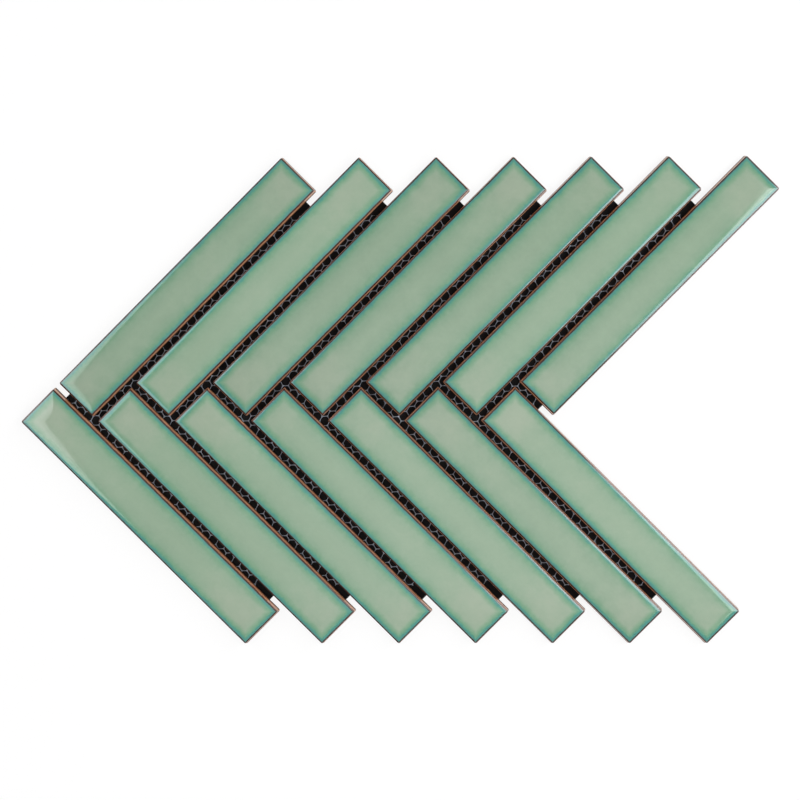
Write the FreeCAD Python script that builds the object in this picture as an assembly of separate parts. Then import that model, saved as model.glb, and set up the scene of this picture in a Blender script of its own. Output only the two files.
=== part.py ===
"""Chevron mosaic wall tile, as one sheet off the pile.

Fourteen glazed bars lie herringbone, seven leaning up to the right and seven down to the right,
so that each pair points left like an arrow head. They are glued to an open net, and the net to
a thin black backing sheet that is cut back from the bars all round.

Millimetres. +Z is up and the glazed faces look up. +X is away from the point of the chevron.
The origin is the middle of the sheet's extent, on the underside of the backing sheet.
"""
import FreeCAD, Part
import math
import os

# Layout
PAIRS = 7                    # bars in each of the two rows
JOINT = 2.8                  # grout gap between the feet of neighbouring bars

# One bar
BAR_LENGTH = 150.0           # at the foot, where it is widest
BAR_WIDTH = 22.8
BAR_THICKNESS = 6.0          # from the foot to the flat of the face
DRAFT_ANGLE = 6.0            # lean of each side, in degrees, for the press
CORNER_RADIUS = 0.8          # between two sides
ARRIS_RADIUS = 0.6           # between a side and the face
FALL_ANGLE = 4.7             # slope of the pillowed face where it meets the arris, in degrees
FLAT_WIDTH = 3.4             # strip along the middle of the face that is left flat

# Keying grooves in the foot of a bar
GROOVES = 3
GROOVE_WIDTH = 2.6
GROOVE_SPACING = 5.4
GROOVE_DEPTH = 0.5
GROOVE_END_MARGIN = 3.0      # solid foot left past each end of a groove

# Backing
SHEET_THICKNESS = 0.4
SHEET_INSET = 7.0            # from the outer edges of the bars to the cut edge of the sheet
NET_THICKNESS = 0.4
NET_SETBACK = 1.0            # from the edge of the sheet to the edge of the net
NET_STRIP_WIDTH = 175.0      # the net comes off a roll and is cut straight above and below

PITCH = BAR_WIDTH + JOINT
DIAGONAL = math.sqrt(0.5)    # sine and cosine of the 45 degrees at which the bars lie
MIDDLE_X = ((2 * PAIRS - 1) * PITCH + BAR_LENGTH + BAR_WIDTH) / 2 * DIAGONAL
MIDDLE_Y = PITCH / 2 * DIAGONAL
BAR_FOOT = SHEET_THICKNESS + NET_THICKNESS
LEAN = math.radians(DRAFT_ANGLE)
FALL = math.radians(FALL_ANGLE)


def on_sheet(along_up, along_down, height=0.0):
    """The point that lies so far along the up-leaning and the down-leaning direction."""
    x = (along_up + along_down) * DIAGONAL - MIDDLE_X
    y = (along_up - along_down) * DIAGONAL - MIDDLE_Y
    return FreeCAD.Vector(x, y, height)


def rim_distance(half_span, drop):
    """How far out the arris meets the face, where the face has dropped by so much below its flat."""
    centre_z = BAR_THICKNESS - drop - ARRIS_RADIUS * math.cos(FALL)
    centre_y = half_span - centre_z * math.tan(LEAN) - ARRIS_RADIUS / math.cos(LEAN)
    return centre_y + ARRIS_RADIUS * math.sin(FALL)


def pillow_drop():
    """How far the face drops over an arc that runs from the flat's edge to the rim.

    The rim moves out by the side's lean as the face drops, so the two are solved together.
    """
    slope = math.tan(FALL / 2)
    run_before_drop = rim_distance(BAR_WIDTH / 2, 0) - FLAT_WIDTH / 2
    return run_before_drop * slope / (1 - slope * math.tan(LEAN))


def pressed_profile(half_span):
    """A bar's section across its length or its width, as a face in the YZ plane.

    From the foot, half_span out on each side, a drafted side runs up into the arris arc. That
    is tangent to the side, and to the shallow pillow arc that carries the face up to its flat.
    """
    drop = pillow_drop()
    rim = rim_distance(half_span, drop)
    pillow_radius = drop / (1 - math.cos(FALL))
    flat_edge_y = rim - pillow_radius * math.sin(FALL)
    arris_y = rim - ARRIS_RADIUS * math.sin(FALL)
    arris_z = BAR_THICKNESS - drop - ARRIS_RADIUS * math.cos(FALL)

    def on_arris(angle, side):
        reach = arris_y + ARRIS_RADIUS * math.cos(angle)
        return FreeCAD.Vector(0, side * reach, arris_z + ARRIS_RADIUS * math.sin(angle))

    def on_pillow(angle, side):
        reach = flat_edge_y + pillow_radius * math.sin(angle)
        return FreeCAD.Vector(0, side * reach, BAR_THICKNESS - pillow_radius * (1 - math.cos(angle)))

    arris_end = math.pi / 2 - FALL
    edges = []
    for side in (1, -1):
        foot = FreeCAD.Vector(0, side * half_span, 0)
        side_top = on_arris(LEAN, side)
        shoulder = on_pillow(FALL, side)
        edges.append(Part.LineSegment(foot, side_top).toShape())
        edges.append(Part.Arc(side_top, on_arris((LEAN + arris_end) / 2, side), shoulder).toShape())
        edges.append(Part.Arc(shoulder, on_pillow(FALL / 2, side), on_pillow(0, side)).toShape())
    edges.append(Part.LineSegment(on_pillow(0, 1), on_pillow(0, -1)).toShape())
    left_foot = FreeCAD.Vector(0, -half_span, 0)
    edges.append(Part.LineSegment(left_foot, FreeCAD.Vector(0, half_span, 0)).toShape())
    return Part.Face(Part.Wire(Part.__sortEdges__(edges)))


def pressed_prism(half_span, run):
    """The pressed profile, carried along X for the length of run and centred on the origin."""
    face = pressed_profile(half_span)
    face.translate(FreeCAD.Vector(-run / 2, 0, 0))
    return face.extrude(FreeCAD.Vector(run, 0, 0))


def drafted_block():
    """The bar's four leaning sides, carried up to a sharp top, with the corners rounded."""
    lean = BAR_THICKNESS * math.tan(LEAN)
    half_length = BAR_LENGTH / 2
    half_width = BAR_WIDTH / 2
    block = Part.makeWedge(-half_length, 0, -half_width, lean - half_width, lean - half_length,
                           half_length, BAR_THICKNESS, half_width, half_width - lean, half_length - lean)
    block.rotate(FreeCAD.Vector(0, 0, 0), FreeCAD.Vector(1, 0, 0), 90)
    corners = [edge for edge in block.Edges if abs(edge.tangentAt(edge.FirstParameter).z) > 0.5]
    return block.makeFillet(CORNER_RADIUS, corners)


def key_grooves():
    """The shallow lengthwise grooves in the foot that the adhesive keys into."""
    length = BAR_LENGTH - 2 * GROOVE_END_MARGIN
    grooves = []
    for number in range(GROOVES):
        middle = (number - (GROOVES - 1) / 2) * GROOVE_SPACING
        corner = FreeCAD.Vector(-length / 2, middle - GROOVE_WIDTH / 2, 0)
        grooves.append(Part.makeBox(length, GROOVE_WIDTH, GROOVE_DEPTH, corner))
    return grooves


def glazed_bar():
    """One pressed and glazed bar, lying along X with its foot on Z = 0."""
    across = pressed_prism(BAR_WIDTH / 2, BAR_LENGTH)
    lengthwise = pressed_prism(BAR_LENGTH / 2, BAR_WIDTH)
    lengthwise.rotate(FreeCAD.Vector(0, 0, 0), FreeCAD.Vector(0, 0, 1), 90)
    return across.common(lengthwise).common(drafted_block()).cut(key_grooves())


def place_bar(bar, turn, along_up, along_down):
    """A copy of the bar, turned about Z and moved so that its middle is at that point."""
    placed = bar.copy()
    placed.rotate(FreeCAD.Vector(0, 0, 0), FreeCAD.Vector(0, 0, 1), turn)
    placed.translate(on_sheet(along_up, along_down, BAR_FOOT))
    return placed


def laid_bars():
    """Both rows of bars by name. Each up-leaning bar butts on the side of its down-leaning one."""
    bar = glazed_bar()
    bars = {}
    for number in range(PAIRS):
        step = number * PITCH
        bars[f"upper_bar_{number + 1}"] = place_bar(
            bar, 45, step + PITCH + BAR_LENGTH / 2, step + BAR_WIDTH / 2)
        bars[f"lower_bar_{number + 1}"] = place_bar(
            bar, -45, step + BAR_WIDTH / 2, step + BAR_LENGTH / 2)
    return bars


def stepped_outline(inset):
    """The sheet's stepped outline, that much inside the outer edges of the bars."""
    last = PAIRS - 1
    corners = [(inset, inset)]
    for number in range(PAIRS):
        step = number * PITCH
        end = step + PITCH + BAR_LENGTH - inset
        next_step = step + (BAR_WIDTH - inset if number == last else PITCH + inset)
        corners += [(end, step + inset), (end, next_step)]
    crook = last * PITCH + BAR_WIDTH - inset
    corners.append((crook, crook))
    for number in reversed(range(PAIRS)):
        step = number * PITCH
        end = step + BAR_LENGTH - inset
        next_step = step + (BAR_WIDTH - inset if number == last else PITCH + inset)
        corners += [(next_step, end), (step + inset, end)]
    return Part.Face(Part.makePolygon([on_sheet(*corner) for corner in corners + corners[:1]]))


def backing_sheet():
    """The thin black sheet under everything."""
    return stepped_outline(SHEET_INSET).extrude(FreeCAD.Vector(0, 0, SHEET_THICKNESS))


def net():
    """The net's outline and thickness. Its meshes are too fine to be cut here."""
    outline = stepped_outline(SHEET_INSET + NET_SETBACK)
    outline.translate(FreeCAD.Vector(0, 0, SHEET_THICKNESS))
    layer = outline.extrude(FreeCAD.Vector(0, 0, NET_THICKNESS))
    strip_length = 2 * MIDDLE_X
    strip = Part.makeBox(strip_length, NET_STRIP_WIDTH, NET_THICKNESS,
                         FreeCAD.Vector(-strip_length / 2, -NET_STRIP_WIDTH / 2, SHEET_THICKNESS))
    return layer.common(strip)


def main():
    pieces = laid_bars()
    pieces["backing_sheet"] = backing_sheet()
    pieces["net"] = net()
    os.makedirs("parts", exist_ok=True)
    for name, shape in pieces.items():
        if len(shape.Solids) != 1 or not shape.isValid():
            raise ValueError(f"{name} is not one valid solid")
        shape.Solids[0].exportStep(f"parts/{name}.step")
        print(f"{name}: {shape.Volume / 1000:.2f} cm3")


main()
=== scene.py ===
# %% [markdown]
# # A sheet of chevron mosaic, dressed for the camera
# Fourteen pressed bars of green glazed clay lie herringbone on a plastic net, and the net lies on
# a thin black backing. The packed model gives every piece its place and its size. This script
# gives each piece the surface that a close look would find.
#
# # The frame
# The packed solids load first, already in metres and in place.

# %% Load the packed solids
import math
import random

import bmesh
import bpy
from mathutils import Matrix, Vector


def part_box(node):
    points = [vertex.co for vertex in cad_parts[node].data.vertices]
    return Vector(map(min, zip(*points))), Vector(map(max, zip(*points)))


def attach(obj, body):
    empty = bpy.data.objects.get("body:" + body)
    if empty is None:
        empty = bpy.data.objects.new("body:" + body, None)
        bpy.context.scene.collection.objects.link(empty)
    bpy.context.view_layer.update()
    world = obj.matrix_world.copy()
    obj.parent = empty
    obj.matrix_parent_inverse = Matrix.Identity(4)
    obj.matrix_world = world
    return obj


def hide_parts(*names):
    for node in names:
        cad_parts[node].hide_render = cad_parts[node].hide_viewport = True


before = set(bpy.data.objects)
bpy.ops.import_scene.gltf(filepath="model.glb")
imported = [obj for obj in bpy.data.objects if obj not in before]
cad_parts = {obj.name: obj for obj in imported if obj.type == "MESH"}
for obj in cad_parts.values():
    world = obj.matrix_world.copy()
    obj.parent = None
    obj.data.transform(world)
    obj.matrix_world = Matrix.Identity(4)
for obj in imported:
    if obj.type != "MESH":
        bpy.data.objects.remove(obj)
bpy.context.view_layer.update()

MM = 0.001
TINY = 0.001 * MM

# %% [markdown]
# # The camera
# The sheet is seen from almost straight above, from a little off its middle, with the camera tilted
# by a degree or two. A long lens keeps the bars nearly parallel. The place and the tilt were found
# by fitting the corners of the bars to those in the picture.

# %% Stand the camera over the sheet
LENS_MM, SENSOR_MM = 80.39, 36.0
CAMERA_PLACE = (0.012112, 0.026349, 0.844371)
CAMERA_TILT = (-1.7544, 0.7828, -0.1763)


def add_object(name, data):
    """Puts a lens, a lamp or a mesh into the scene as an object of that name."""
    thing = bpy.data.objects.new(name, data)
    bpy.context.scene.collection.objects.link(thing)
    return thing


camera_lens = bpy.data.cameras.new("overhead_camera")
camera_lens.lens, camera_lens.sensor_width = LENS_MM, SENSOR_MM
camera = add_object("overhead_camera", camera_lens)
camera.location = CAMERA_PLACE
camera.rotation_euler = [math.radians(angle) for angle in CAMERA_TILT]
bpy.context.scene.camera = camera
print("camera height", round(camera.location.z, 3), "m, lens", LENS_MM, "mm")

# %% [markdown]
# # The lamps overhead
# Glaze shows its shape by what it mirrors. A soft box hangs at the left of the table and another
# at the right. They are too far out to be mirrored by the flat of a bar, so only the shoulders
# that lean towards them light up. A real soft box is dimmer at its rim, so each is built as a few
# layers of lamps, each smaller than the one before. A faint panel overhead lays a thin white veil
# on the lower bars, as a pale ceiling does. A lamp in front and two windows behind reach down the
# sides of the bars, and together all this gives a level at which a colour looks about as it is
# written.

# %% Hang the lamps
LAMP_HEIGHT, LAYER_LIFT = 1.0, 0.004


def hang_lamp(name, width, depth, radiance, place, turn=(0, 0, 0)):
    """A flat lamp that shines from its underside, as bright as that from wherever it is seen."""
    lamp = bpy.data.lights.new(name, "AREA")
    lamp.shape = "RECTANGLE"
    lamp.size, lamp.size_y = width, depth
    lamp.energy = radiance * math.pi * width * depth
    holder = add_object(name, lamp)
    holder.location, holder.rotation_euler = place, turn
    holder.visible_camera = False


def soft_box(name, x_low, x_high, y_low, y_high, layers):
    """Lamps that face straight down, one for each margin and radiance in layers.

    Each hangs a little higher than every lamp before it. In one plane only one would be mirrored.
    """
    for number, (margin, radiance) in enumerate(layers, 1):
        height = LAMP_HEIGHT + len(bpy.data.lights) * LAYER_LIFT
        hang_lamp(f"{name}_{number}", x_high - x_low - 2 * margin, y_high - y_low - 2 * margin,
                  radiance, ((x_low + x_high) / 2, (y_low + y_high) / 2, height))


soft_box("left_soft_box", -0.92, -0.393, -0.27, 0.34, ((0.0, 2.0), (0.02, 0.95)))
soft_box("left_corner", -0.92, -0.55, 0.10, 0.36, ((0.0, 0.9),))
soft_box("right_soft_box", 0.408, 1.0, -0.36, 0.25, ((0.0, 2.0), (0.02, 3.0)))
soft_box("right_core", 0.49, 1.0, 0.03, 0.25, ((0.0, 2.6),))
soft_box("pale_ceiling", -0.20, 0.56, -0.38, 0.12, ((0.0, 0.19), (0.06, 0.19), (0.12, 0.19)))
soft_box("front_lamp", -0.30, 0.90, -1.80, -0.80, ((0.0, 3.7),))
soft_box("back_left_window", -1.4, -0.7, 0.6, 1.3, ((0.0, 4.0),))
hang_lamp("back_right_window", 0.75, 0.30, 8.5, (1.02, 0.50, LAMP_HEIGHT), (0, 0, math.pi / 4))
print("lamps overhead:", len(bpy.data.lights))

# %% [markdown]
# # The screens and the sky
# The arris of a bar turns through most of a right angle, so it mirrors a strip of the whole room.
# Two upright screens stand further out for it, and show there as a thin line of light. A faint even
# sky fills what no lamp reaches. It could be a picture of a room, but a plain one has no seams and
# looks the same from every side.

# %% Stand the screens and fill the sky
SCREEN_DISTANCE, SCREEN_LOW, SCREEN_HIGH = 1.5, 0.35, 1.15
SKY_STRENGTH = 0.04
WHITE = (1, 1, 1, 1)


def screen(name, bearing, width, radiance):
    """An upright lamp that faces the sheet from that bearing, in degrees from +X."""
    angle = math.radians(bearing)
    place = (SCREEN_DISTANCE * math.cos(angle), SCREEN_DISTANCE * math.sin(angle),
             (SCREEN_LOW + SCREEN_HIGH) / 2)
    hang_lamp(name, width, SCREEN_HIGH - SCREEN_LOW, radiance, place,
              (math.pi / 2, 0, angle + math.pi / 2))


screen("right_screen", 40, 1.2, 3.8)
screen("left_screen", 145, 1.0, 1.9)

world = bpy.data.worlds.new("even_sky")
bpy.context.scene.world = world
world.use_nodes = True
sky = world.node_tree.nodes["Background"]
sky.inputs["Color"].default_value = WHITE
sky.inputs["Strength"].default_value = SKY_STRENGTH
bpy.context.scene.view_settings.view_transform = "Standard"

# %% [markdown]
# # Shader maths that reads like arithmetic
# A finish is worked out from positions and noise, and a chain of Math nodes is hard to read. So
# one small class stands for a value on its way through the nodes, and adding or multiplying two
# such values adds the Math node. Every other kind of node comes from one method, which is told the
# node's type, then its settings, then what goes into its sockets.

# %% Wrap a socket


def linear(red, green, blue):
    """A colour as a screen shows it, from 0 to 255, turned into the light that shaders mix."""
    def channel(value):
        share = value / 255
        return share / 12.92 if share <= 0.04045 else ((share + 0.055) / 1.055) ** 2.4
    return channel(red), channel(green), channel(blue), 1.0


class Signal:
    """An output socket that can be added, multiplied and compared."""

    def __init__(self, finish, socket):
        self.finish, self.socket = finish, socket

    def maths(self, operation, *values, swap=False):
        terms = (*values, self) if swap else (self, *values)
        return self.finish.node("ShaderNodeMath", {"operation": operation}, dict(enumerate(terms)))

    def __add__(self, other):
        return self.maths("ADD", other)

    def __sub__(self, other):
        return self.maths("SUBTRACT", other)

    def __rsub__(self, other):
        return self.maths("SUBTRACT", other, swap=True)

    def __mul__(self, other):
        return self.maths("MULTIPLY", other)

    def __truediv__(self, other):
        return self.maths("DIVIDE", other)

    def __rtruediv__(self, other):
        return self.maths("DIVIDE", other, swap=True)

    def __lt__(self, other):
        return self.maths("LESS_THAN", other)

    def __abs__(self):
        return self.maths("ABSOLUTE")

    __radd__, __rmul__ = __add__, __mul__

    def least(self, other):
        return self.maths("MINIMUM", other)

    def most(self, other):
        return self.maths("MAXIMUM", other)

    def ramp(self, start, end, low=0.0, high=1.0):
        """Low before start, high after end, and an eased change between them."""
        return self.finish.node(
            "ShaderNodeMapRange", {"interpolation_type": "SMOOTHSTEP"},
            {"Value": self, "From Min": start, "From Max": end, "To Min": low, "To Max": high})


print("a screen's middle grey is", round(linear(128, 128, 128)[0], 3), "in linear light")

# %% [markdown]
# The class for a finish holds one material. Its first method makes any node, and the few below it
# only save writing out the nodes that come up again and again. A Mix node has one set of sockets
# for each kind of data, so the ones for colours are picked by their numbers.

# %% Wrap a node tree
MIX_SHARE, MIX_FIRST, MIX_SECOND, MIX_RESULT = 0, 6, 7, 2


class Finish:
    """A material under construction."""

    def __init__(self, name):
        self.material = bpy.data.materials.new(name)
        self.material.use_nodes = True
        self.tree = self.material.node_tree
        self.tree.nodes.clear()

    def node(self, kind, settings=None, inputs=None, output=0):
        made = self.tree.nodes.new(kind)
        for name, value in (settings or {}).items():
            if name == "stops":
                self.set_stops(made.color_ramp, value)
            else:
                setattr(made, name, value)
        for name, value in (inputs or {}).items():
            if isinstance(value, Signal):
                self.tree.links.new(value.socket, made.inputs[name])
            else:
                made.inputs[name].default_value = value
        return Signal(self, made.outputs[output]) if made.outputs else None

    @staticmethod
    def set_stops(ramp, stops):
        ramp.elements.remove(ramp.elements[1])
        ramp.elements[0].position, ramp.elements[0].color = stops[0]
        for position, colour in stops[1:]:
            ramp.elements.new(position).color = colour

    def place(self):
        """The point on the sheet, in metres."""
        return self.node("ShaderNodeTexCoord", output="Object")

    def part_of(self, vector, axis):
        return self.node("ShaderNodeSeparateXYZ", {}, {"Vector": vector}, output=axis)

    def noise(self, place, size, detail=2.0, roughness=0.5):
        """Cloudy noise from 0 to 1, whose blots are about that many metres across."""
        return self.node("ShaderNodeTexNoise", {}, {
            "Vector": place, "Scale": 1 / size, "Detail": detail, "Roughness": roughness})

    def mix(self, share, first, second):
        """The first colour where share is 0, and the second where it is 1."""
        return self.node("ShaderNodeMix", {"data_type": "RGBA"},
                         {MIX_SHARE: share, MIX_FIRST: first, MIX_SECOND: second}, MIX_RESULT)

    def mix_shaders(self, share, first, second):
        return self.node("ShaderNodeMixShader", {}, {0: share, 1: first, 2: second})

    def bump(self, height, distance):
        return self.node("ShaderNodeBump", {}, {"Height": height, "Distance": distance})

    def shader(self, sockets):
        return self.node("ShaderNodeBsdfPrincipled", {}, sockets)

    def end_in(self, shader):
        """Ends the material in that shader."""
        self.node("ShaderNodeOutputMaterial", {}, {"Surface": shader})
        return self.material


print("a finish can make", [name for name in vars(Finish) if not name.startswith("_")])

# %% [markdown]
# # The table top
# The sheet lies on a plain pale board. The board shines white to the camera and in reflections
# wherever nothing shades it, and a share of ordinary white paint is left in it to carry the sheet's
# soft shadow. What it throws back as light is that of a pale grey board, or the outer sides would
# glow. Far out the board turns up into a low wall, so that a view from the side meets no edge.

# %% Lay the pale board
BOARD_REACH, WALL_HEIGHT = 12.0, 2.5
BOARD_CORNERS = 64
PAINT_SHARE = 0.12
BOARD_GREY = (180, 180, 180)

board_mesh = bpy.data.meshes.new("white_board")
shape = bmesh.new()
bmesh.ops.create_circle(shape, cap_ends=True, segments=BOARD_CORNERS, radius=BOARD_REACH)
wall = bmesh.ops.extrude_edge_only(shape, edges=list(shape.edges))["geom"]
bmesh.ops.translate(shape, vec=(0, 0, WALL_HEIGHT),
                    verts=[item for item in wall if isinstance(item, bmesh.types.BMVert)])
shape.to_mesh(board_mesh)
shape.free()
board = add_object("white_board", board_mesh)

board_finish = Finish("white_board")
paint = board_finish.node("ShaderNodeBsdfDiffuse", {}, {"Color": WHITE})
shine = board_finish.node("ShaderNodeEmission", {}, {"Color": WHITE, "Strength": 1.0})
white = board_finish.mix_shaders(PAINT_SHARE, shine, paint)
dull = board_finish.node("ShaderNodeBsdfDiffuse", {}, {"Color": linear(*BOARD_GREY)})
shown = board_finish.node("ShaderNodeLightPath", output="Is Camera Ray")
for ray in ("Is Glossy Ray", "Is Transmission Ray"):
    shown = shown.most(board_finish.node("ShaderNodeLightPath", output=ray))
board_mesh.materials.append(board_finish.end_in(board_finish.mix_shaders(shown, dull, white)))
print("board laid,", 2 * BOARD_REACH, "m across")

# %% [markdown]
# # The sides of a bar
# A bar is pressed from clay powder in a steel die. Its sides lean in a little so that it leaves
# the die, and its edges are rounded. It could be a stack of outlines, but a cube is enough to start
# from: its top is drawn in for the leaning sides, then the four corner edges are bevelled, and then
# the edges round the top, whose bevel is the arris.

# %% Lean the sides and round the edges
BAR_LENGTH, BAR_WIDTH, BAR_THICKNESS = 150.0 * MM, 22.8 * MM, 6.0 * MM
PILLOW_DROP = 0.42 * MM
RIM_HEIGHT = BAR_THICKNESS - PILLOW_DROP
RIM_LEAN = RIM_HEIGHT * math.tan(math.radians(6.0))
CORNER_RADIUS, ARRIS_SETBACK = 0.8 * MM, 0.35 * MM


def above(shape, height):
    return [vert for vert in shape.verts if vert.co.z > height]


def top_face(shape):
    return max(shape.faces, key=lambda face: face.calc_center_median().z)


def round_off(shape, edges, setback):
    bmesh.ops.bevel(shape, geom=edges, offset=setback, offset_type="OFFSET", segments=4,
                    profile=0.5, affect="EDGES", material=-1)


bar_shape = bmesh.new()
bmesh.ops.create_cube(bar_shape, size=1.0)
bmesh.ops.scale(bar_shape, vec=(BAR_LENGTH, BAR_WIDTH, RIM_HEIGHT), verts=bar_shape.verts)
bmesh.ops.translate(bar_shape, vec=(0, 0, RIM_HEIGHT / 2), verts=bar_shape.verts)
drawn_in = (1 - 2 * RIM_LEAN / BAR_LENGTH, 1 - 2 * RIM_LEAN / BAR_WIDTH, 1)
bmesh.ops.scale(bar_shape, vec=drawn_in, verts=above(bar_shape, RIM_HEIGHT / 2))
upright = [edge for edge in bar_shape.edges
           if abs(edge.verts[0].co.z - edge.verts[1].co.z) > RIM_HEIGHT / 2]
round_off(bar_shape, upright, CORNER_RADIUS)
round_off(bar_shape, list(top_face(bar_shape).edges), ARRIS_SETBACK)
print("rim at", round(RIM_HEIGHT / MM, 2), "mm, faces so far:", len(bar_shape.faces))

# %% [markdown]
# # The pillow
# The face is a low pillow that meets itself in a mitre at each corner. It is inset ring by ring,
# each ring a little higher than the last. The glaze rounds the face over towards its rim, so the
# first rings are narrow and steep, and they catch a thin line of light. A few rings in, the rounded
# corners are gathered into points, and from there the mitres run straight, as the die leaves them.

# %% Raise the pillow
FLAT_WIDTH = 3.4 * MM
PILLOW_RUN = (BAR_WIDTH - FLAT_WIDTH) / 2 - RIM_LEAN - ARRIS_SETBACK
RING_REACHES = (0.982, 0.966, 0.95, 0.935, 0.915, 0.89, 0.86,
                0.82, 0.76, 0.67, 0.54, 0.38, 0.2, 0.0)
SQUARE_FROM = 0.95
SHOULDER_SHARE, SHOULDER_POWER = 0.42, 11


def drop_at(reach):
    """How far the face has dropped, where reach goes from 0 at the flat to 1 at the rim."""
    shoulder = SHOULDER_SHARE * reach ** SHOULDER_POWER
    return PILLOW_DROP * ((1 - SHOULDER_SHARE) * reach ** 2 + shoulder)


def square_corners(shape):
    """Gathers each rounded corner of the face into one point."""
    x_reach = max(vert.co.x for vert in top_face(shape).verts)
    y_reach = max(vert.co.y for vert in top_face(shape).verts)
    height = top_face(shape).verts[0].co.z
    for x_side, y_side in ((1, 1), (1, -1), (-1, 1), (-1, -1)):
        corner = Vector((x_side * x_reach, y_side * y_reach, height))
        near = [vert for vert in top_face(shape).verts if (vert.co - corner).length < CORNER_RADIUS]
        bmesh.ops.pointmerge(shape, verts=near, merge_co=corner)


reach = 1.0
for next_reach in RING_REACHES:
    bmesh.ops.inset_region(
        bar_shape, faces=[top_face(bar_shape)], thickness=PILLOW_RUN * (reach - next_reach),
        depth=drop_at(reach) - drop_at(next_reach), use_even_offset=True, use_boundary=True)
    reach = next_reach
    if reach == SQUARE_FROM:
        square_corners(bar_shape)
print("pillow run", round(PILLOW_RUN / MM, 2), "mm in", len(RING_REACHES), "rings")

# %% [markdown]
# # The grooves in the foot
# The underside has three shallow grooves for the adhesive to key into. They could be cut out with
# boxes, but cutting the one foot face into strips and pressing three of the strips inwards keeps
# the mesh closed and light.

# %% Press the grooves
GROOVES, GROOVE_WIDTH, GROOVE_SPACING, GROOVE_DEPTH = 3, 2.6 * MM, 5.4 * MM, 0.5 * MM
GROOVE_LENGTH = BAR_LENGTH - 2 * 3.0 * MM
FACES_DOWN = -0.99


def foot(shape):
    return [face for face in shape.faces if face.normal.z < FACES_DOWN]


def cut_foot(shape, point, normal):
    faces = foot(shape)
    edges = list(dict.fromkeys(edge for face in faces for edge in face.edges))
    verts = list(dict.fromkeys(vert for face in faces for vert in face.verts))
    bmesh.ops.bisect_plane(shape, geom=faces + edges + verts, plane_co=point, plane_no=normal)
    shape.normal_update()


bar_shape.normal_update()
groove_middles = [(number - (GROOVES - 1) / 2) * GROOVE_SPACING for number in range(GROOVES)]
for side in (-1, 1):
    cut_foot(bar_shape, (side * GROOVE_LENGTH / 2, 0, 0), (1, 0, 0))
for middle in groove_middles:
    for side in (-1, 1):
        cut_foot(bar_shape, (0, middle + side * GROOVE_WIDTH / 2, 0), (0, 1, 0))
for middle in groove_middles:
    sunk = [face for face in foot(bar_shape)
            if abs(face.calc_center_median().x) < GROOVE_LENGTH / 2
            and abs(face.calc_center_median().y - middle) < GROOVE_WIDTH / 2]
    pressed = bmesh.ops.extrude_face_region(bar_shape, geom=sunk)["geom"]
    bmesh.ops.translate(bar_shape, vec=(0, 0, GROOVE_DEPTH),
                        verts=[item for item in pressed if isinstance(item, bmesh.types.BMVert)])
    bmesh.ops.delete(bar_shape, geom=[face for face in sunk if face.is_valid], context="FACES_ONLY")
print("grooves:", len(groove_middles), "of", round(GROOVE_LENGTH / MM), "mm")

# %% [markdown]
# # Soft and sharp edges
# Molten glaze leaves the arris and the pillow soft, so the faces are shaded smooth across them. The
# foot stays sharp, and so do the mitres, which show in the real face as faint straight creases. An
# edge is a mitre where it runs at 45 degrees to the sides, inside the ring with square corners.

# %% Mark the sharp edges
SHARP_TURN = math.radians(35)
SQUARE_REACH = FLAT_WIDTH / 2 + SQUARE_FROM * PILLOW_RUN


def on_mitre(edge):
    run = edge.verts[1].co - edge.verts[0].co
    return (abs(abs(run.x) - abs(run.y)) < TINY and
            all(vert.co.z > RIM_HEIGHT and abs(vert.co.y) < SQUARE_REACH + TINY
                for vert in edge.verts))


bmesh.ops.recalc_face_normals(bar_shape, faces=bar_shape.faces)
for face in bar_shape.faces:
    face.smooth = True
for edge in bar_shape.edges:
    edge.smooth = edge.calc_face_angle(0.0) < SHARP_TURN and not on_mitre(edge)
rim_width = 2 * max(vert.co.y for vert in above(bar_shape, RIM_HEIGHT - TINY))
print("width at the rim", round(rim_width / MM, 2), "mm, mitre edges:",
      sum(on_mitre(edge) for edge in bar_shape.edges))
print("one bar:", len(bar_shape.faces), "faces, open edges:",
      sum(len(edge.link_faces) != 2 for edge in bar_shape.edges))

# %% [markdown]
# # Fourteen bars in their places
# Every bar comes from the same die, so one mesh is copied, turned and moved to where the packed
# solid lies. Before it is turned, each corner of each face writes down where it is on the bar. The
# glaze needs that, because it pools and breaks by its distance from the bar's own edge. Each bar
# also gets a shade of its own, drawn from a seed. It is partly the kiln's spread and partly painted
# light: the seed was picked so that the shades carry part of how the light falls across the rows.

# %% Lay the bars
PAIRS = 7
# The seed gives each bar a shade, partly kiln spread and partly painted light across the rows.
KILN_AND_LIGHT_DRAWS = random.Random(351894)


def lay_bar(name, turn):
    low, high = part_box(name)
    shape = bar_shape.copy()
    plan = shape.loops.layers.uv.new("bar_plan")
    firing = shape.verts.layers.float.new("firing")
    # One shade for the whole bar, partly kiln spread and partly painted light.
    shade = KILN_AND_LIGHT_DRAWS.uniform(-1, 1)
    for face in shape.faces:
        for loop in face.loops:
            loop[plan].uv = (loop.vert.co.x / MM, loop.vert.co.y / MM)
    for vert in shape.verts:
        vert[firing] = shade
    middle = (low + high) / 2
    placing = Matrix.Translation((middle.x, middle.y, low.z)) @ Matrix.Rotation(turn, 4, "Z")
    bmesh.ops.transform(shape, matrix=placing, verts=shape.verts)
    mesh = bpy.data.meshes.new("glazed_" + name)
    shape.to_mesh(mesh)
    shape.free()
    bar = add_object("glazed_" + name, mesh)
    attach(bar, "root")
    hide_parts(name)
    return bar


bars = []
for row, turn in (("upper", math.pi / 4), ("lower", -math.pi / 4)):
    for number in range(1, PAIRS + 1):
        bars.append(lay_bar(f"{row}_bar_{number}", turn))
bar_shape.free()
print("bars laid:", len(bars))

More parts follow.
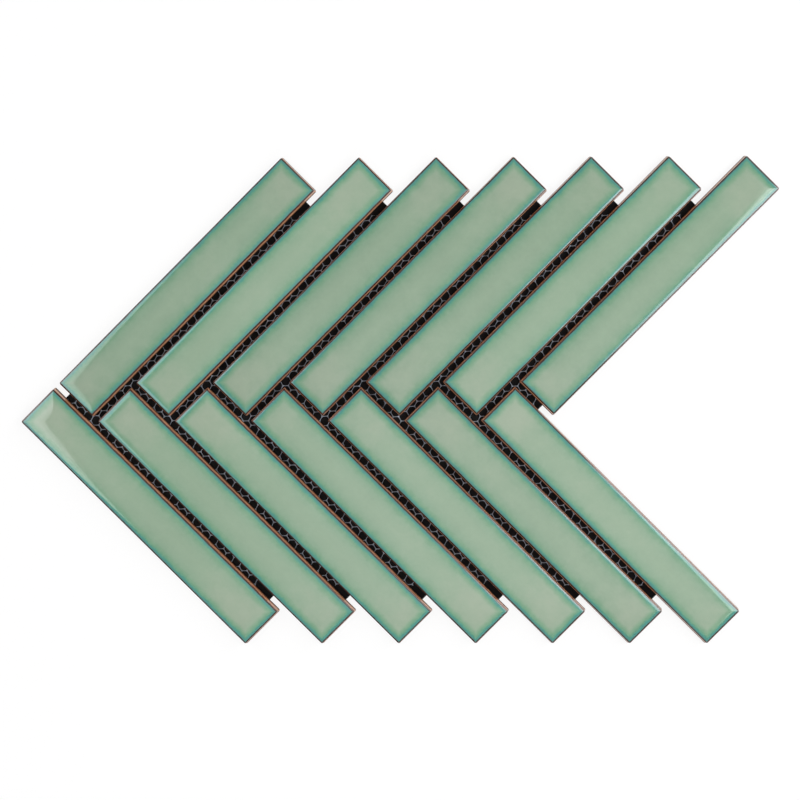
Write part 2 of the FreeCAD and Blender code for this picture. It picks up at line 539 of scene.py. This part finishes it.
# %% [markdown]
# # The glaze, from the edge inwards
# The glaze is a thick, clear grey-green. On the flat it is calm and slightly greyed. Near the edge
# the molten glass pulled away and pooled: it turns to a cleaner green, then to a narrow line of
# teal. All of that follows one number, the distance in millimetres from the foot of the nearest
# side. Noise of three sizes is added to it, so that no line is ruled, and less of it at the arris,
# where the glaze has no room to wander.

# %% Measure how far in from the edge
HALF_LENGTH_MM, HALF_WIDTH_MM = BAR_LENGTH / MM / 2, BAR_WIDTH / MM / 2
END_BREAK_MM = 0.1
WANDER_START_MM, WANDER_FULL_MM = 0.9, 3.0

glaze = Finish("celadon_glaze")
here = glaze.place()
plan = glaze.node("ShaderNodeUVMap", {"uv_map": "bar_plan"})
from_end = HALF_LENGTH_MM - END_BREAK_MM - abs(glaze.part_of(plan, "X"))
from_side = HALF_WIDTH_MM - abs(glaze.part_of(plan, "Y"))
from_edge = from_end.least(from_side)

fine = glaze.noise(here, 1.6 * MM, detail=3.0, roughness=0.6) - 0.5
blotch = glaze.noise(here, 6.0 * MM, detail=3.0, roughness=0.55) - 0.5
broad = glaze.noise(here, 34.0 * MM) - 0.5
wander = from_edge.ramp(WANDER_START_MM, WANDER_FULL_MM, 0.10, 1.3)
pooled = from_edge + (fine * 1.2 + blotch * 1.6) * wander
print("from the edge to the middle of a bar:", round(HALF_WIDTH_MM, 2), "mm")

# %% [markdown]
# A ramp turns the distance into colour. Its first stops are the side of the bar: on the arris the
# glaze broke thin over the clay and fired dark brown, and down the sides only a thin tan skin of it
# is left. Towards the foot the side turns matt and darker brown, and that darkening is partly the
# clay and partly painted shade of the narrow joints. From the arris inwards come the teal, the
# green and the calm grey-green.

# %% Colour the glaze by that distance
RAMP_REACH_MM = 12.0
# The first stops darken the side towards the foot, partly as painted shade of the joints.
GLAZE_AND_SHADE_STOPS = [
    (0.00, (60, 38, 28)),
    (0.14, (97, 63, 44)),
    (0.24, (209, 154, 115)),
    (0.42, (230, 178, 139)),
    (0.50, (151, 92, 62)),
    (0.58, (71, 39, 27)),
    (0.96, (62, 36, 28)),
    (1.12, (72, 80, 76)),
    (1.32, (88, 138, 134)),
    (1.95, (83, 149, 136)),
    (2.60, (106, 156, 130)),
    (3.60, (124, 160, 132)),
    (5.20, (138, 165, 141)),
    (8.00, (145, 168, 145)),
    (11.4, (148, 170, 147)),
]

body_colour = glaze.node(
    "ShaderNodeValToRGB",
    {"stops": [(reach / RAMP_REACH_MM, linear(*colour)) for reach, colour in GLAZE_AND_SHADE_STOPS]},
    {"Fac": pooled / RAMP_REACH_MM})
print("glaze stops:", len(GLAZE_AND_SHADE_STOPS))

# %% [markdown]
# # The clouds in the glaze
# The ends of a bar are a little greyer than its middle, and the glaze is faintly cloudy. The
# clouds are shifts in brightness of a few per cent, and each bar's shade is added to them, partly
# from the kiln and partly painted light across the rows. They scale the whole colour, so Vector
# Math does it: a Math node would turn the colour grey.

# %% Cloud the glaze
CALM_GREY = linear(162, 172, 154)
# How far each bar's shade reaches, partly kiln spread and partly painted light.
KILN_AND_LIGHT_SPREAD = 0.05

past_the_pool = from_edge.ramp(2.0, 6.0)
greyer = from_end.ramp(6.0, 42.0, 1.0, 0.0) * past_the_pool
veil = (greyer * 0.45 + (broad + blotch * 0.5) * 1.1).ramp(0.0, 0.7, 0.0, 0.6) * past_the_pool
calm = glaze.mix(veil, body_colour, CALM_GREY)
shade = glaze.node("ShaderNodeAttribute", {"attribute_name": "firing"}, output="Fac")
clouds = 1 + fine * 0.05 + blotch * 0.07 + broad * 0.10 + shade * KILN_AND_LIGHT_SPREAD
clouded = glaze.node("ShaderNodeVectorMath", {"operation": "SCALE"}, {0: calm, "Scale": clouds})
print("glaze nodes so far:", len(glaze.tree.nodes))

# %% [markdown]
# # Glass over bare clay
# A glazed bar is two surfaces: glossy glass where the glaze took, and rough clay on the underside
# and along the foot. One very flat, wide ripple in the glass keeps its highlights from being ruled.
# The two could be two materials, but a Mix Shader lets the glass thin out softly down the sides.

# %% Bare the clay and gloss the glass
UNDERSIDE_HEIGHT = 1.45 * MM
UNDERSIDE_START_MM, UNDERSIDE_FULL_MM = 0.6, 0.9
FOOT_BARE_MM, FOOT_GLAZED_MM = 0.12, 0.40
CLAY_DARK, CLAY_PALE = linear(186, 142, 108), linear(206, 166, 132)

low_down = glaze.part_of(here, "Z") < UNDERSIDE_HEIGHT
underside = low_down * from_edge.ramp(UNDERSIDE_START_MM, UNDERSIDE_FULL_MM)
grit = glaze.noise(here, 0.5 * MM, detail=4.0, roughness=0.7)
clay = glaze.mix(grit.ramp(0.35, 0.7), CLAY_DARK, CLAY_PALE)
colour = glaze.mix(underside, clouded, clay)
bare = underside.most(from_edge.ramp(FOOT_BARE_MM, FOOT_GLAZED_MM, 1.0, 0.0))
ripple = glaze.bump(glaze.noise(here, 16.0 * MM, detail=1.0), 0.03 * MM)
glass = glaze.shader({"Base Color": colour, "Roughness": 0.04, "IOR": 1.6, "Normal": ripple})
body = glaze.shader({"Base Color": colour, "Roughness": 0.85, "Specular IOR Level": 0.15,
                     "Normal": glaze.bump(grit, 0.06 * MM)})
glaze_material = glaze.end_in(glaze.mix_shaders(bare, glass, body))
for bar in bars:
    bar.data.materials.append(glaze_material)
print("glaze nodes:", len(glaze.tree.nodes))

# %% [markdown]
# # The net
# The bars are glued to a soft moulded net of pale plastic. Its holes, hexagons with their corners
# rounded off, sit in a slightly squashed honeycomb, which shows through the joints as a string of
# little black beads. One mesh of the net is a ring between a hexagon and a smaller one whose
# corners are bevelled, and it is pulled into the net's own skewed pattern. A picture of a net would
# be lighter, but the strands are thick enough to catch the light.

# %% Mould one mesh of the net
HOLE_PITCH = 4.4 * MM
HOLE_INRADIUS = 2.07 * MM
HOLE_CORNER_SHARE = 0.17
ACROSS = Vector((3.708, -2.010)) * MM
UP_ACROSS = Vector((3.775, 2.436)) * MM
INRADIUS_SHARE = math.sqrt(0.75)

net_shape = bmesh.new()
hole_side = HOLE_INRADIUS / INRADIUS_SHARE
bmesh.ops.create_circle(net_shape, segments=6, radius=hole_side)
bmesh.ops.bevel(net_shape, geom=list(net_shape.verts), offset=hole_side * HOLE_CORNER_SHARE,
                offset_type="OFFSET", segments=1, profile=0.5, affect="VERTICES", material=-1)
bmesh.ops.create_circle(net_shape, segments=6, radius=HOLE_PITCH / math.sqrt(3))
bmesh.ops.bridge_loops(net_shape, edges=net_shape.edges)
bmesh.ops.rotate(net_shape, cent=(0, 0, 0), matrix=Matrix.Rotation(math.pi / 6, 3, "Z"),
                 verts=net_shape.verts)
regular = Matrix(((INRADIUS_SHARE, INRADIUS_SHARE), (-0.5, 0.5))) * HOLE_PITCH
real = Matrix(((ACROSS.x, UP_ACROSS.x), (ACROSS.y, UP_ACROSS.y)))
skew = real @ regular.inverted()
skew.resize_4x4()
bmesh.ops.transform(net_shape, matrix=skew, verts=net_shape.verts)
print("one mesh of the net:", len(net_shape.faces), "faces")

# %% [markdown]
# One mesh is set beside itself, the pair is repeated into a zigzag column, and the column into a
# field that covers the sheet. After each step the copies are welded where they touch, so that the
# strands are one piece of plastic. An Array modifier could repeat it too, but it steps along a
# piece's own box, and this pattern is skewed.

# %% Weave the net
FIRST_HOLE = Vector((6.135, -0.254)) * MM
COLUMNS, ROWS = 50, 48
WELD_REACH = 0.01 * MM


def everything(shape):
    return [*shape.verts, *shape.edges, *shape.faces]


def repeat(shape, step, times):
    """Sets copies of the whole shape in a row, a step apart, and welds them."""
    source = everything(shape)
    for number in range(1, times):
        copy = bmesh.ops.duplicate(shape, geom=source)["geom"]
        fresh = [item for item in copy if isinstance(item, bmesh.types.BMVert)]
        bmesh.ops.translate(shape, vec=(*(step * number), 0), verts=fresh)
    bmesh.ops.remove_doubles(shape, verts=shape.verts, dist=WELD_REACH)


repeat(net_shape, ACROSS, 2)
repeat(net_shape, UP_ACROSS - ACROSS, ROWS)
repeat(net_shape, ACROSS + UP_ACROSS, COLUMNS)
corner = (FIRST_HOLE - (ACROSS + UP_ACROSS) * (COLUMNS // 2)
          - (UP_ACROSS - ACROSS) * (ROWS // 2))
bmesh.ops.translate(net_shape, vec=(*corner, 0), verts=net_shape.verts)
print("field of net:", len(net_shape.faces), "faces")

# %% [markdown]
# # The outline of the net
# The net comes off a roll and is cut straight above and below, then along both sides of the point.
# On the right it has a crook, a corner that points inwards. A straight cut would run on past that
# corner into the net, so there the net is only scored along both lines, and the faces that lie
# beyond both are dropped.

# %% Trim the net
STRIP_HALF = 87.5 * MM
NET_INSET = 8.0 * MM
BAR_PITCH = 25.6 * MM
DIAGONAL = math.sqrt(0.5)
MIDDLE_X = ((2 * PAIRS - 1) * BAR_PITCH + BAR_LENGTH + BAR_WIDTH) / 2 * DIAGONAL
MIDDLE_Y = BAR_PITCH / 2 * DIAGONAL
CROOK = (PAIRS - 1) * BAR_PITCH + BAR_WIDTH - NET_INSET
UPWARD, DOWNWARD = Vector((DIAGONAL, DIAGONAL)), Vector((DIAGONAL, -DIAGONAL))


def on_sheet(along_up, along_down):
    """The point that lies so far along the up-leaning and the down-leaning direction."""
    return Vector(((along_up + along_down) * DIAGONAL - MIDDLE_X,
                   (along_up - along_down) * DIAGONAL - MIDDLE_Y))


def trim(shape, point, outwards, geom=None, clear=True):
    """Cuts along a line through the point, and drops what is outside it unless told not to."""
    bmesh.ops.bisect_plane(shape, geom=geom or everything(shape), dist=TINY, plane_co=(*point, 0),
                           plane_no=(*outwards, 0), clear_outer=clear)


def past(face, direction, point):
    return (face.calc_center_median().to_2d() - point).dot(direction) > 0


for side in (1, -1):
    trim(net_shape, Vector((0, side * STRIP_HALF)), Vector((0, side)))
trim(net_shape, on_sheet(NET_INSET, NET_INSET), -UPWARD)
trim(net_shape, on_sheet(NET_INSET, NET_INSET), -DOWNWARD)
apex = on_sheet(CROOK, CROOK)
for across, along in ((UPWARD, DOWNWARD), (DOWNWARD, UPWARD)):
    beyond = [face for face in net_shape.faces if past(face, along, apex - along * HOLE_PITCH)]
    edges = dict.fromkeys(edge for face in beyond for edge in face.edges)
    verts = dict.fromkeys(vert for face in beyond for vert in face.verts)
    trim(net_shape, apex, across, [*verts, *edges, *beyond], clear=False)
outside = [face for face in net_shape.faces
           if past(face, UPWARD, apex) and past(face, DOWNWARD, apex)]
bmesh.ops.delete(net_shape, geom=outside, context="FACES")
print("trimmed net:", len(net_shape.faces), "faces, crook at",
      [round(value / MM, 2) for value in apex], "mm")

# %% [markdown]
# # The thickness of the net
# Only now does the flat net get its thickness, so that every cut edge is closed. It is raised from
# the underside to the top of the packed net: the flat faces stay as the underside, and a lifted
# copy of them, joined by walls, is the top.

# %% Thicken the net
net_low, net_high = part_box("net")

bmesh.ops.translate(net_shape, vec=(0, 0, net_low.z), verts=net_shape.verts)
rising = bmesh.ops.extrude_face_region(net_shape, geom=list(net_shape.faces),
                                       use_keep_orig=True)["geom"]
bmesh.ops.translate(net_shape, vec=(0, 0, net_high.z - net_low.z),
                    verts=[item for item in rising if isinstance(item, bmesh.types.BMVert)])
bmesh.ops.recalc_face_normals(net_shape, faces=net_shape.faces)
net_mesh = bpy.data.meshes.new("moulded_net")
net_shape.to_mesh(net_mesh)
print("net:", sum(len(face.verts) - 2 for face in net_shape.faces), "triangles, open edges:",
      sum(len(edge.link_faces) != 2 for edge in net_shape.edges))
net_shape.free()
moulded_net = add_object("moulded_net", net_mesh)
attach(moulded_net, "root")
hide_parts("net")

# %% [markdown]
# The net is a pale, slightly blue grey plastic, neither matt nor glossy. It is scuffed, which the
# same noise gives twice: as a change of shade and as a shallow bump.

# %% Colour the net
net_finish = Finish("net_plastic")
scuff = net_finish.noise(net_finish.place(), 2.5 * MM, detail=3.0, roughness=0.6)
net_colour = net_finish.mix(scuff.ramp(0.3, 0.7), linear(134, 144, 157), linear(168, 178, 192))
net_mesh.materials.append(net_finish.end_in(net_finish.shader({
    "Base Color": net_colour, "Roughness": 0.45, "IOR": 1.48,
    "Normal": net_finish.bump(scuff, 0.05 * MM)})))
print("net nodes:", len(net_finish.tree.nodes))

# %% [markdown]
# # The backing
# Under the net lies a thin black sheet, which shows black through the joints. It is a plain solid
# already, so it keeps the packed mesh and only gets a finish: matt, faintly fibrous, almost black.

# %% Finish the backing
backing = Finish("black_backing")
fibre = backing.noise(backing.place(), 1.2 * MM, detail=4.0, roughness=0.7)
backing_colour = backing.mix(fibre.ramp(0.3, 0.75), linear(13, 13, 14), linear(25, 25, 27))
backing_material = backing.end_in(backing.shader({
    "Base Color": backing_colour, "Roughness": 0.85, "Specular IOR Level": 0.2,
    "Normal": backing.bump(fibre, 0.06 * MM)}))
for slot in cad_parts["backing_sheet"].material_slots:
    slot.material = backing_material
print("backing slots:", len(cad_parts["backing_sheet"].material_slots))

# %% [markdown]
# The dressed model has to fill the same box as the packed solids.
